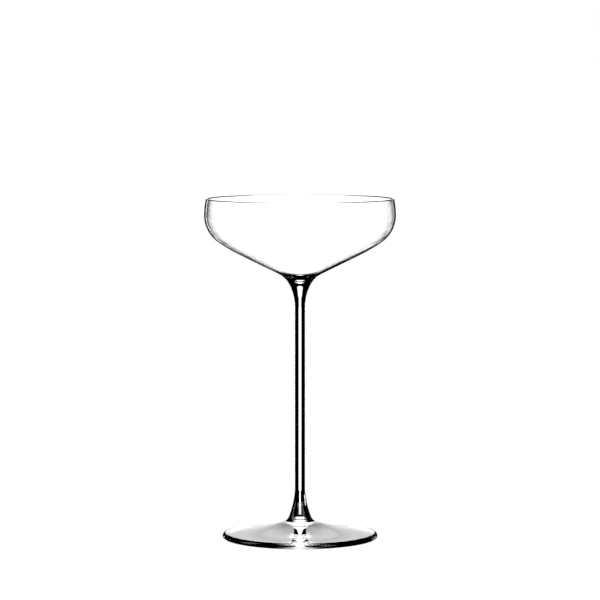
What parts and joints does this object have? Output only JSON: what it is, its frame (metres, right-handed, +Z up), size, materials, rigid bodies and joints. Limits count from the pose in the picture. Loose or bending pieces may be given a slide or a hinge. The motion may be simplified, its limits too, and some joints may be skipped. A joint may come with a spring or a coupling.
{
  "type": "coupe glass",
  "caption": "Clear stemmed coupe glass: a broad shallow bowl with a rounded shoulder and rim, a thin straight stem and a round low foot, for serving drinks.",
  "frame": {"origin": "centre of the foot's resting ring, on the surface that the glass stands on", "axes": "+Z up along the axis of the glass, from the foot to the rim; the front is -Y, and the glass is round, so X and Y are alike"},
  "size_m": [0.116, 0.116, 0.2067],
  "materials": {
    "clear_glass": "clear, fire-polished"
  },
  "bodies": {
    "root": {"bowl": "clear_glass", "stem": "clear_glass", "foot": "clear_glass"}
  },
  "joints": []
}
